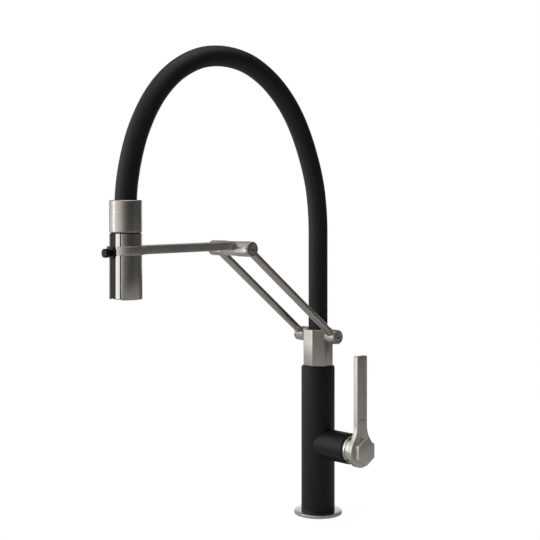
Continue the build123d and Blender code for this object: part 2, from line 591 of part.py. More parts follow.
# ---- writing ------------------------------------------------------------------------------
def nodes():
    """Every node's name and shape, from the deck upwards."""
    yield "base_flange", base_flange()
    yield "base_gasket", base_gasket()
    yield "inlet_block", inlet_block()
    yield "body_column", body_column()
    yield "swivel_bush", swivel_bush()
    yield "cartridge_seal", cartridge_seal()
    yield "cartridge_body", cartridge_body()
    yield "ceramic_disc_fixed", fixed_disc()
    yield "ceramic_disc_moving", moving_disc()
    yield "cartridge_nut", cartridge_nut()
    yield "cover_ring", cover_ring()
    yield "temperature_spindle", temperature_spindle()
    yield "stem_cross_pin", stem_cross_pin()
    yield "lever_stem", lever_stem()
    yield "lever_hub", lever_hub()
    yield "lever", lever()
    yield "hex_cap", hex_cap()
    yield "swivel_stem", swivel_stem()
    yield "swivel_o_rings", swivel_o_rings()
    yield "retaining_clip", retaining_clip()
    yield "thrust_washer", thrust_washer()
    yield "swivel_collar", swivel_collar()
    yield "lower_pivot_pins", lower_pivot_pins()
    yield "lower_pivot_caps", lower_pivot_caps()
    for name, shape in (("lower_barrel", lower_barrel()), ("upper_barrel", upper_barrel()),
                        ("link_rod", link_rod())):
        for side, solid in zip(("right", "left"), both_sides(shape)):
            yield f"{name}_{side}", solid
    yield "upper_pivot_pin", upper_pivot_pin()
    yield "upper_pivot_caps", upper_pivot_caps()
    yield "spout_arm", spout_arm()
    yield "hose_sheath", hose_sheath()
    yield "inner_hose", inner_hose()
    yield "hose_tail_lower", hose_tail_lower()
    yield "hose_tail_upper", hose_tail_upper()
    yield "ferrule", ferrule()
    yield "neck_seal", neck_seal()
    yield "spray_core", spray_core()
    yield "spray_shell", spray_shell()
    yield "channel_cover", channel_cover()
    yield "nozzle_plate", nozzle_plate()
    yield "aerator", aerator()
    yield "check_valve", check_valve()
    yield "button_bezel", button_bezel()
    yield "diverter_button", diverter_button()
    yield "button_spring", button_spring()


os.makedirs("parts", exist_ok=True)
for node_name, node_shape in nodes():
    if isinstance(node_shape, list):
        node_shape = Compound(children=node_shape)
    export_step(node_shape, f"parts/{node_name}.step")
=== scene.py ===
"""The looks of a single-lever pull-down kitchen faucet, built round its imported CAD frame."""

import json
import logging
import math
from dataclasses import dataclass, field
from enum import Enum

import bmesh
import bpy
from mathutils import Matrix, Vector

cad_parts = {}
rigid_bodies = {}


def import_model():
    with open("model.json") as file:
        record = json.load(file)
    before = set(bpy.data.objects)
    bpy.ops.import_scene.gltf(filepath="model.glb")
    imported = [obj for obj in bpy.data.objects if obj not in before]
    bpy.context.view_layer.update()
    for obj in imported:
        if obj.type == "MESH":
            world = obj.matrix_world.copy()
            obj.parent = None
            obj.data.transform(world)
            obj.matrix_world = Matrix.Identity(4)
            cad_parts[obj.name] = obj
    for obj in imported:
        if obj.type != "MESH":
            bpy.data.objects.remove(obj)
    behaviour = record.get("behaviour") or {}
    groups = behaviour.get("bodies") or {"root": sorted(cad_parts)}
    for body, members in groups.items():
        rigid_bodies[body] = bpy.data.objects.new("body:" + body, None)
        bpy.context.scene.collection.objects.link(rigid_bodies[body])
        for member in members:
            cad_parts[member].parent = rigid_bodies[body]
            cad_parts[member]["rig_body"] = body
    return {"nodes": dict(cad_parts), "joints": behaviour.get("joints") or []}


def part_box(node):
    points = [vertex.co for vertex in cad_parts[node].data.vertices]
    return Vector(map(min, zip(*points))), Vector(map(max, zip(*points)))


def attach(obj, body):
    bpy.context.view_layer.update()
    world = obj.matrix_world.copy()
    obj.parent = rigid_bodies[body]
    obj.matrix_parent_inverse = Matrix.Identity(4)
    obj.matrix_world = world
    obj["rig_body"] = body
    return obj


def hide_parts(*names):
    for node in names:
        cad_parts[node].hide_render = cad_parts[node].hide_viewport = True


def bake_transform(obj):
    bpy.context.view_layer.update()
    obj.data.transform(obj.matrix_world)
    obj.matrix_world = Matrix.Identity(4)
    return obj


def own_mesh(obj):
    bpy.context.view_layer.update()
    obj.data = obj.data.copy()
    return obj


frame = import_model()

LOG = logging.getLogger("faucet")
TINY = 1e-6
MM = 0.001
TREE = bpy.types.NodeTree
SOCKET = bpy.types.NodeSocket
OBJECT = bpy.types.Object
POINT = tuple[float, float, float]
COLOUR = tuple[float, float, float]


class Brush(Enum):
    """Which way the brush lines of a metal piece run."""

    AROUND = (9.0, 9.0, 1500.0)
    UPRIGHT = (1500.0, 1500.0, 9.0)
    ACROSS = (9.0, 1500.0, 1500.0)
    ALONG = (1500.0, 9.0, 1500.0)


# ---- shader maths ----------------------------------------------------------------------------


class Wire:
    """A node socket that takes part in Python sums and products."""

    def __init__(self, tree: TREE, socket: SOCKET) -> None:
        """Wrap an output socket of a node tree."""
        self.tree = tree
        self.socket = socket

    def _math(self, operation: str, first: "Wire | float", second: "Wire | float") -> "Wire":
        """Add one Math node.

        Args:
            operation: The Math node's operation.
            first: The first operand.
            second: The second operand.

        Returns:
            The node's result.
        """
        return Shader(self.tree).node(
            "ShaderNodeMath", {"operation": operation}, {0: first, 1: second})

    def __add__(self, other: "Wire | float") -> "Wire":
        """Sum."""
        return self._math("ADD", self, other)

    def __radd__(self, other: float) -> "Wire":
        """Reflected sum."""
        return self._math("ADD", other, self)

    def __sub__(self, other: "Wire | float") -> "Wire":
        """Difference."""
        return self._math("SUBTRACT", self, other)

    def __rsub__(self, other: float) -> "Wire":
        """Reflected difference."""
        return self._math("SUBTRACT", other, self)

    def __mul__(self, other: "Wire | float") -> "Wire":
        """Product."""
        return self._math("MULTIPLY", self, other)

    def __rmul__(self, other: float) -> "Wire":
        """Reflected product."""
        return self._math("MULTIPLY", other, self)


class Shader:
    """Makes the nodes of one material."""

    def __init__(self, tree: TREE) -> None:
        """Work on a node tree."""
        self.tree = tree

    def node(self, kind: str, settings: dict | None = None,
             inputs: dict | None = None, output: int | str = 0) -> Wire:
        """Add a node, set it up and feed it.

        Args:
            kind: The node's type name.
            settings: Properties to set first; a ramp's stops are given as "stops".
            inputs: Socket values or wires, by name or number.
            output: The socket to return.

        Returns:
            The chosen output, wrapped.
        """
        made = self.tree.nodes.new(kind)
        for key, value in (settings or {}).items():
            if key == "stops":
                self._stops(made.color_ramp, value)
            else:
                setattr(made, key, value)
        for key, value in (inputs or {}).items():
            if isinstance(value, Wire):
                self.tree.links.new(value.socket, made.inputs[key])
            else:
                made.inputs[key].default_value = value
        return Wire(self.tree, made.outputs[output])

    @staticmethod
    def _stops(ramp: bpy.types.ColorRamp, stops: list[tuple[float, float]]) -> None:
        """Set a ramp's grey stops.

        Args:
            ramp: The ramp to change.
            stops: Pairs of position and grey level.
        """
        while len(ramp.elements) < len(stops):
            ramp.elements.new(0.5)
        for element, (place, grey) in zip(ramp.elements, stops):
            element.position = place
            element.color = (grey, grey, grey, 1.0)

    def place(self, scale: POINT = (1.0, 1.0, 1.0), turn: POINT = (0.0, 0.0, 0.0)) -> Wire:
        """Object coordinates, stretched and turned.

        Args:
            scale: How much each axis is multiplied by.
            turn: Rotation in radians, before the stretch.

        Returns:
            The mapped vector.
        """
        coords = self.node("ShaderNodeTexCoord", output="Object")
        turned = self.node("ShaderNodeMapping", {"vector_type": "POINT"},
                           {"Vector": coords, "Rotation": turn})
        return self.node("ShaderNodeMapping", {"vector_type": "POINT"},
                         {"Vector": turned, "Scale": scale})

    def noise(self, vector: Wire, scale: float, detail: float = 3.0, rough: float = 0.5) -> Wire:
        """A noise field between 0 and 1.

        Args:
            vector: Where it is read.
            scale: Its frequency.
            detail: Its octaves.
            rough: How strong the finer octaves are.

        Returns:
            The grey value.
        """
        return self.node("ShaderNodeTexNoise", None,
                         {"Vector": vector, "Scale": scale, "Detail": detail, "Roughness": rough})

    def ramp(self, value: Wire, stops: list[tuple[float, float]]) -> Wire:
        """Bend a value through grey stops."""
        return self.node("ShaderNodeValToRGB", {"stops": stops}, {"Fac": value})

    def blend(self, amount: Wire, first: COLOUR, second: COLOUR) -> Wire:
        """Mix two colours.

        Args:
            amount: 0 gives the first colour, 1 the second.
            first: A linear colour.
            second: A linear colour.

        Returns:
            The mixed colour.
        """
        return self.node("ShaderNodeMix", {"data_type": "RGBA"},
                         {0: amount, 6: (*first, 1.0), 7: (*second, 1.0)}, output=2)

    def bump(self, height: Wire, strength: float, distance: float) -> Wire:
        """Turn a height into a normal.

        Args:
            height: The height field.
            strength: How much it shows.
            distance: The height of a full step, in metres.

        Returns:
            The bent normal.
        """
        return self.node("ShaderNodeBump", None,
                         {"Height": height, "Strength": strength, "Distance": distance})


@dataclass(frozen=True)
class Finish:
    """What every finish of the faucet has."""

    name: str
    colour: COLOUR
    roughness: float

    def build(self) -> bpy.types.Material:
        """Make the material.

        Returns:
            A material whose Principled shader has this finish's sockets.
        """
        material = bpy.data.materials.new(self.name)
        material.use_nodes = True
        tree = material.node_tree
        principled = tree.nodes["Principled BSDF"]
        sockets = {"Base Color": (*self.colour, 1.0), "Roughness": self.roughness}
        sockets.update(self.surface(Shader(tree)))
        for key, value in sockets.items():
            if isinstance(value, Wire):
                tree.links.new(value.socket, principled.inputs[key])
            else:
                principled.inputs[key].default_value = value
        return material

    def surface(self, shader: Shader) -> dict:
        """The sockets that this finish changes.

        Args:
            shader: Makes the nodes.

        Returns:
            Values or wires by socket name.
        """
        return {}


@dataclass(frozen=True)
class BrushedMetal(Finish):
    """Nickel brushed in fine parallel lines, a little cloudy."""

    brush: Brush = Brush.AROUND
    turn: POINT = (0.0, 0.0, 0.0)
    grain: float = 1.0

    def surface(self, shader: Shader) -> dict:
        """Fine and coarse brush lines over slow clouds.

        Args:
            shader: Makes the nodes.

        Returns:
            Values or wires by socket name.
        """
        run = shader.place(self.brush.value, self.turn)
        fine = shader.noise(run, 1.6, 4.0, 0.62)
        coarse = shader.noise(run, 0.34, 2.0, 0.5)
        lines = fine * 0.55 + coarse * 0.45
        clouds = shader.noise(shader.place(), 55.0, 3.0, 0.55)
        shade = shader.ramp(lines * 0.6 + clouds * 0.4, [(0.32, 0.0), (0.68, 1.0)])
        dark = tuple(0.80 * part for part in self.colour)
        light = tuple(min(1.0, 1.15 * part) for part in self.colour)
        return {
            "Base Color": shader.blend(shade, dark, light),
            "Metallic": 1.0,
            "Roughness": self.roughness - 0.08 + fine * 0.10 + clouds * 0.08,
            "Normal": shader.bump(lines, 0.10 * self.grain, 0.00005),
        }


@dataclass(frozen=True)
class PolishedMetal(Finish):
    """Bright polished metal with faint wipe marks."""

    def surface(self, shader: Shader) -> dict:
        """Slow smears in the gloss and a very shallow ripple.

        Args:
            shader: Makes the nodes.

        Returns:
            Values or wires by socket name.
        """
        smears = shader.noise(shader.place((40.0, 40.0, 9.0)), 3.0, 3.0, 0.6)
        ripple = shader.noise(shader.place(), 90.0, 2.0, 0.4)
        return {
            "Metallic": 1.0,
            "Roughness": self.roughness + smears * 0.07,
            "Normal": shader.bump(ripple, 0.05, 0.0002),
        }


@dataclass(frozen=True)
class PolishedLands(PolishedMetal):
    """Polished lands that stand proud of a black core."""

    black: COLOUR = (0.004, 0.004, 0.004)
    axis_y: float = -0.270
    core_r: float = 0.0146
    land_r: float = 0.0150

    def surface(self, shader: Shader) -> dict:
        """Bright outside the core's radius and black within it.

        Args:
            shader: Makes the nodes.

        Returns:
            Values or wires by socket name.
        """
        coords = shader.node("ShaderNodeTexCoord", output="Object")
        flat = shader.node("ShaderNodeMapping", {"vector_type": "POINT"},
                           {"Vector": coords, "Location": (0.0, -self.axis_y, 0.0),
                            "Scale": (1.0, 1.0, 0.0)})
        reach = shader.node("ShaderNodeVectorMath", {"operation": "LENGTH"}, {0: flat},
                            output="Value")
        span = 2.0 * self.land_r
        stops = [(self.core_r / span, 0.0), (self.land_r / span, 1.0)]
        land = shader.ramp(reach * (1.0 / span), stops)
        sockets = super().surface(shader)
        sockets["Base Color"] = shader.blend(land, self.black, self.colour)
        sockets["Metallic"] = land
        sockets["Roughness"] = sockets["Roughness"] + (1.0 - land) * 0.3
        return sockets


@dataclass(frozen=True)
class PowderCoat(Finish):
    """Matte black powder coat: a fine orange-peel with a soft satin sheen."""

    def surface(self, shader: Shader) -> dict:
        """Fine grain over a slow mottle.

        Args:
            shader: Makes the nodes.

        Returns:
            Values or wires by socket name.
        """
        grain = shader.noise(shader.place(), 2600.0, 3.0, 0.6)
        peel = shader.noise(shader.place(), 620.0, 2.0, 0.5)
        mottle = shader.noise(shader.place(), 34.0, 3.0, 0.5)
        light = tuple(1.7 * part + 0.001 for part in self.colour)
        return {
            "Base Color": shader.blend(mottle * 0.5 + grain * 0.4, self.colour, light),
            "Roughness": self.roughness - 0.06 + grain * 0.12,
            "Specular IOR Level": 0.34,
            "Normal": shader.bump(grain * 0.45 + peel * 0.55, 0.22, 0.00008),
        }


@dataclass(frozen=True)
class HoseRubber(Finish):
    """Smooth extruded rubber: dull, with faint draw lines and dust in its pores."""

    def surface(self, shader: Shader) -> dict:
        """Pores, a slow cloud of bloom and a soft bump.

        Args:
            shader: Makes the nodes.

        Returns:
            Values or wires by socket name.
        """
        pores = shader.noise(shader.place(), 1500.0, 4.0, 0.6)
        bloom = shader.noise(shader.place(), 26.0, 4.0, 0.55)
        light = tuple(2.0 * part + 0.002 for part in self.colour)
        return {
            "Base Color": shader.blend(bloom * 0.55 + pores * 0.3, self.colour, light),
            "Roughness": self.roughness - 0.05 + bloom * 0.10,
            "Specular IOR Level": 0.30,
            "Normal": shader.bump(pores, 0.18, 0.00006),
        }


@dataclass(frozen=True)
class Moulded(Finish):
    """Moulded plastic, glossy or dull by its roughness."""

    shine: float = 0.5

    def surface(self, shader: Shader) -> dict:
        """A light mould texture that fades out on a glossy piece.

        Args:
            shader: Makes the nodes.

        Returns:
            Values or wires by socket name.
        """
        texture = shader.noise(shader.place(), 1100.0, 3.0, 0.5)
        cloud = shader.noise(shader.place(), 60.0, 2.0, 0.5)
        light = tuple(min(1.0, 1.25 * part + 0.002) for part in self.colour)
        return {
            "Base Color": shader.blend(cloud, self.colour, light),
            "Roughness": self.roughness + texture * 0.08,
            "Specular IOR Level": self.shine,
            "Normal": shader.bump(texture, 0.3 * self.roughness, 0.00006),
        }


@dataclass(frozen=True)
class TurnedMetal(Finish):
    """Machined brass or steel of the inner pieces, with tool rings."""

    def surface(self, shader: Shader) -> dict:
        """Fine tool lines across a slow tarnish.

        Args:
            shader: Makes the nodes.

        Returns:
            Values or wires by socket name.
        """
        rings = shader.noise(shader.place((6.0, 6.0, 900.0)), 1.5, 2.0, 0.5)
        tarnish = shader.noise(shader.place(), 70.0, 3.0, 0.6)
        dull = tuple(0.6 * part for part in self.colour)
        return {
            "Base Color": shader.blend(tarnish, dull, self.colour),
            "Metallic": 1.0,
            "Roughness": self.roughness + rings * 0.15,
            "Normal": shader.bump(rings, 0.1, 0.0001),
        }


@dataclass(frozen=True)
class Braid(Finish):
    """The woven jacket of the inner hose."""

    def surface(self, shader: Shader) -> dict:
        """Two crossing sets of strands.

        Args:
            shader: Makes the nodes.

        Returns:
            Values or wires by socket name.
        """
        bands = {"wave_type": "BANDS", "bands_direction": "DIAGONAL"}
        first, second = (
            shader.node("ShaderNodeTexWave", bands,
                        {"Vector": shader.place((420.0, lean, lean)), "Scale": 0.5}, "Fac")
            for lean in (420.0, -420.0))
        weave = first * second
        dark = tuple(0.4 * part for part in self.colour)
        return {
            "Base Color": shader.blend(weave, dark, self.colour),
            "Roughness": self.roughness,
            "Normal": shader.bump(weave, 0.5, 0.0002),
        }


NICKEL = (0.55, 0.52, 0.475)
LINK_TILT = math.atan2(0.305 - 0.2026, 0.131)


@dataclass
class Palette:
    """Every finish on the faucet, each built once."""

    SLOTS = {"nickel": "brushed_nickel", "polished": "polished_metal",
             "dull": "matte_black_plastic",
             "seal": "seal_rubber", "acetal": "white_plastic", "ceramic": "ceramic"}

    built: dict[str, bpy.types.Material] = field(default_factory=dict)
    finishes: tuple[Finish, ...] = (
        BrushedMetal("nickel_turned", NICKEL, 0.30, Brush.AROUND),
        BrushedMetal("nickel_upright", NICKEL, 0.30, Brush.UPRIGHT),
        BrushedMetal("nickel_cross", NICKEL, 0.30, Brush.ACROSS),
        # Partly painted highlight: this lighter nickel on the flange, cover ring and hub stands in
        # for the strong light falling on them; its lower roughness is a real polish.
        BrushedMetal("nickel_bright", (0.74, 0.71, 0.67), 0.24, Brush.ACROSS, grain=0.6),
        BrushedMetal("nickel_rod", NICKEL, 0.32, Brush.ALONG, (LINK_TILT, 0.0, 0.0)),
        BrushedMetal("nickel_arm", (0.66, 0.63, 0.585), 0.36, Brush.ALONG),
        # Partly painted highlight: this lighter nickel on the lever and hexagon cap stands in for
        # light on their faces; its higher roughness is a real satin finish.
        BrushedMetal("nickel_lever", (0.68, 0.65, 0.60), 0.42, Brush.UPRIGHT),
        PolishedLands("polished_lands", (0.88, 0.86, 0.83), 0.08),
        PowderCoat("black_coat", (0.0055, 0.0055, 0.006), 0.42),
        HoseRubber("hose_rubber", (0.0095, 0.0095, 0.0098), 0.50),
        Moulded("gloss_black", (0.003, 0.003, 0.0033), 0.16, shine=0.26),
        Moulded("dull_black", (0.012, 0.012, 0.012), 0.55),
        Moulded("seal_black", (0.014, 0.014, 0.014), 0.62),
        Moulded("acetal_white", (0.74, 0.74, 0.70), 0.42),
        Moulded("ceramic_white", (0.80, 0.79, 0.76), 0.2),
        TurnedMetal("brass", (0.70, 0.50, 0.20), 0.26),
        TurnedMetal("steel", (0.50, 0.50, 0.50), 0.26),
        Braid("braid", (0.30, 0.31, 0.33), 0.5),
    )

    def __post_init__(self) -> None:
        """Build every finish."""
        for finish in self.finishes:
            self.built[finish.name] = finish.build()

    def slot_of(self, name: str) -> str:
        """The record's slot that a finish belongs to."""
        return self.SLOTS.get(name.split("_")[0], name)

    def put(self, piece: OBJECT, name: str) -> None:
        """Give a piece one finish over all of its slots.

        Args:
            piece: A mesh object.
            name: The finish's name.
        """
        if not piece.material_slots:
            piece.data.materials.append(self.built[name])
        for each in piece.material_slots:
            each.material = self.built[name]


# ---- pieces ----------------------------------------------------------------------------------


@dataclass
class HoseArch:
    """The rubber hose and the braided hose inside it, along one smooth route."""

    palette: Palette
    sheath_r: float = 0.0109
    sheath_wall: float = 0.0037
    sheath_top: float = 0.3517
    inner_r: float = 0.006
    inner_wall: float = 0.0018
    inner_top: float = 0.3402
    sides: int = 12
    route: tuple[tuple[float, float], ...] = (
        (0.0, 0.300), (0.0, 0.339), (0.006, 0.379), (0.022, 0.421), (0.040, 0.452),
        (0.061, 0.475), (0.084, 0.492), (0.111, 0.504), (0.141, 0.508), (0.170, 0.505),
        (0.195, 0.495), (0.217, 0.480), (0.237, 0.458), (0.253, 0.430), (0.263, 0.402),
        (0.270, 0.367))
    stretches: tuple[tuple, ...] = (
        ("rise", 0.0, 0.34, ("swivel", "link"), (0, 0, 0.216), (0, -0.024, 0.440)),
        ("crown", 0.34, 0.62, ("link", "arm"), (0, -0.074, 0.482), (0, -0.166, 0.490)),
        ("drop", 0.62, 1.0, ("arm", "spray"), (0, -0.195, 0.485), (0, -0.268, 0.366)))

    def line(self, low: float, high: float) -> list[Vector]:
        """Points along the smooth centreline.

        Args:
            low: Height of the foot, in metres.
            high: Height of the end at the head.

        Returns:
            Points read from the route's spline.
        """
        head = self.route[-1][0]
        corners = [(0.0, low), *self.route, (head, high)]
        curve = bpy.data.curves.new("route", "CURVE")
        curve.dimensions = "3D"
        spline = curve.splines.new("NURBS")
        spline.points.add(len(corners) - 1)
        for point, (reach, height) in zip(spline.points, corners):
            point.co = (0.0, -reach, height, 1.0)
        spline.order_u = 3
        spline.use_endpoint_u = True
        spline.resolution_u = 12
        carrier = bpy.data.objects.new("route", curve)
        bpy.context.collection.objects.link(carrier)
        bpy.context.view_layer.update()
        mesh = bpy.data.meshes.new_from_object(carrier)
        points = [vertex.co.copy() for vertex in mesh.vertices]
        bpy.data.objects.remove(carrier)
        bpy.data.curves.remove(curve)
        bpy.data.meshes.remove(mesh)
        return points

    def tube(self, name: str, points: list[Vector], radius: float) -> OBJECT:
        """A round tube along some points.

        Args:
            name: The piece's name.
            points: The centreline.
            radius: The outer radius.

        Returns:
            The open-ended tube.
        """
        curve = bpy.data.curves.new(name, "CURVE")
        curve.dimensions = "3D"
        curve.bevel_depth = radius
        curve.bevel_resolution = self.sides
        spline = curve.splines.new("POLY")
        spline.points.add(len(points) - 1)
        for point, place in zip(spline.points, points):
            point.co = (*place, 1.0)
        carrier = bpy.data.objects.new(name, curve)
        bpy.context.collection.objects.link(carrier)
        bpy.context.view_layer.update()
        mesh = bpy.data.meshes.new_from_object(carrier)
        bpy.data.objects.remove(carrier)
        bpy.data.curves.remove(curve)
        mesh.name = name
        return link_mesh(name, mesh)

    def build(self) -> list[OBJECT]:
        """Make both hoses in three stretches each.

        Returns:
            The six pieces.
        """
        made = []
        for node, radius, wall, top, finish in (
                ("hose_sheath", self.sheath_r, self.sheath_wall, self.sheath_top, "hose_rubber"),
                ("inner_hose", self.inner_r, self.inner_wall, self.inner_top, "braid")):
            points = self.line(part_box(node)[0][2], top)
            last = len(points) - 1
            for name, first, end_share, bodies, start, end in self.stretches:
                cut = points[round(first * last):round(end_share * last) + 1]
                piece = self.tube(f"{node}_{name}", cut, radius)
                harden(piece, wall)
                self.palette.put(piece, finish)
                smooth(piece)
                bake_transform(piece)
                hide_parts(node)
                made.append(piece)
        return made


def link_mesh(name: str, mesh: bpy.types.Mesh) -> OBJECT:
    """Put a mesh into the scene as a piece.

    Args:
        name: The piece's name.
        mesh: Its mesh, already in place.

    Returns:
        The new object.
    """
    piece = bpy.data.objects.new(name, mesh)
    bpy.context.collection.objects.link(piece)
    return piece


def smooth(piece: OBJECT, crease: float = math.radians(32.0)) -> None:
    """Shade a piece smooth up to its creases.

    Args:
        piece: A mesh object.
        crease: Edges that turn by more than this stay sharp.
    """
    for face in piece.data.polygons:
        face.use_smooth = True
    piece.data.set_sharp_from_angle(angle=crease)


def ease(shape: bmesh.types.BMesh, width: float, segments: int = 3,
         crease: float = math.radians(30.0)) -> None:
    """Round every sharp edge of a closed shape.

    Args:
        shape: The shape to change.
        width: How far the rounding reaches on each side, in metres.
        segments: Faces across the rounding.
        crease: Edges that turn by more than this are rounded.
    """
    sharp = [edge for edge in shape.edges
             if len(edge.link_faces) == 2 and edge.calc_face_angle(0.0) > crease]
    bmesh.ops.bevel(shape, geom=sharp, offset=width, offset_type="OFFSET", segments=segments,
                    profile=0.5, material=-1, affect="EDGES", clamp_overlap=False)


def spun(profile: list[tuple[float, float]], centre: Vector, axis: Vector,
         closed: bool = False, steps: int = 128) -> bmesh.types.BMesh:
    """Turn a profile round an axis, as on a lathe.

    Args:
        profile: Pairs of radius and place along the axis, in metres.
        centre: The point where the place along the axis is 0.
        axis: The axis, of length 1.
        closed: Whether the last point joins the first, for a ring.
        steps: Faces round the turn.

    Returns:
        The turned shape.
    """
    shape = bmesh.new()
    side = axis.orthogonal().normalized()
    points = [shape.verts.new(centre + axis * along + side * radius) for radius, along in profile]
    pairs = list(zip(points, points[1:] + points[:1] if closed else points[1:]))
    edges = [shape.edges.new(pair) for pair in pairs]
    bmesh.ops.spin(shape, geom=points + edges, cent=centre, axis=axis, angle=math.tau,
                   steps=steps, use_merge=True, use_duplicate=False)
    bmesh.ops.remove_doubles(shape, verts=shape.verts, dist=TINY)
    bmesh.ops.recalc_face_normals(shape, faces=shape.faces)
    return shape


@dataclass
class Workshop:
    """Turns finished shapes into pieces that ride on the frame."""

    palette: Palette

    def body(self, node: str) -> str:
        """The body that a CAD node rides on."""
        return frame["nodes"][node]["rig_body"]

    def place(self, name: str, shape: bmesh.types.BMesh, node: str, finish: str) -> OBJECT:
        """Make a piece that stands for a CAD node.

        Args:
            name: The piece's name.
            shape: Its mesh, in place; it is freed.
            node: The CAD node it stands for.
            finish: The finish's name.

        Returns:
            The piece.
        """
        mesh = bpy.data.meshes.new(name)
        shape.to_mesh(mesh)
        shape.free()
        piece = link_mesh(name, mesh)
        self.palette.put(piece, finish)
        smooth(piece)
        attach(piece, self.body(node))
        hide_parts(node)
        self.palette.slot_of(finish)
        LOG.info("built %s for %s in %s", name, node, finish)
        return piece

    def soften(self, node: str, width: float, finish: str, segments: int = 2) -> OBJECT:
        """A copy of a CAD node whose sharp edges are rounded.

        Args:
            node: The CAD node.
            width: How far the rounding reaches on each side, in metres.
            finish: The finish's name.
            segments: Faces across the rounding.

        Returns:
            The piece.
        """
        shape = bmesh.new()
        shape.from_mesh(frame["nodes"][node].data)
        bmesh.ops.remove_doubles(shape, verts=shape.verts, dist=2e-6)
        bmesh.ops.dissolve_limit(shape, angle_limit=math.radians(0.6),
                                 verts=shape.verts, edges=shape.edges)
        ease(shape, width, segments)
        return self.place(f"{node}_eased", shape, node, finish)

    def dress(self, node: str, finish: str) -> None:
        """Give a CAD node that stays its finish."""
        self.palette.put(frame["nodes"][node], finish)
        LOG.info("dressed %s in %s", node, finish)


def harden(piece: OBJECT, wall: float) -> None:
    """Give an open tube its wall, inwards.

    Args:
        piece: The open tube.
        wall: The wall's thickness in metres.
    """
    shape = bmesh.new()
    shape.from_mesh(piece.data)
    bmesh.ops.remove_doubles(shape, verts=shape.verts, dist=TINY)
    bmesh.ops.recalc_face_normals(shape, faces=shape.faces)
    bmesh.ops.solidify(shape, geom=shape.faces[:], thickness=wall)
    shape.to_mesh(piece.data)
    shape.free()


@dataclass
class Base:
    """The flange, the coated column and what stands inside it."""

    shop: Workshop
    hole_r: float = 0.0152
    lip: float = 0.0004

    def flange(self) -> OBJECT:
        """A turned disc with a straight wall and eased rims.

        Returns:
            The flange.
        """
        low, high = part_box("base_flange")
        radius, tall = high.x, high.z - low.z
        profile = [(self.hole_r, 0.0), (radius, 0.0), (radius, tall), (self.hole_r, tall)]
        shape = spun(profile, Vector((0, 0, low.z)), Vector((0, 0, 1)), closed=True)
        ease(shape, self.lip)
        return self.shop.place("flange_turned", shape, "base_flange", "nickel_bright")

    def build(self) -> None:
        """Make the flange and dress the rest."""
        self.flange()
        for node, finish in (("base_gasket", "seal_black"), ("inlet_block", "brass"),
                             ("body_column", "black_coat"), ("swivel_bush", "acetal_white")):
            self.shop.dress(node, finish)


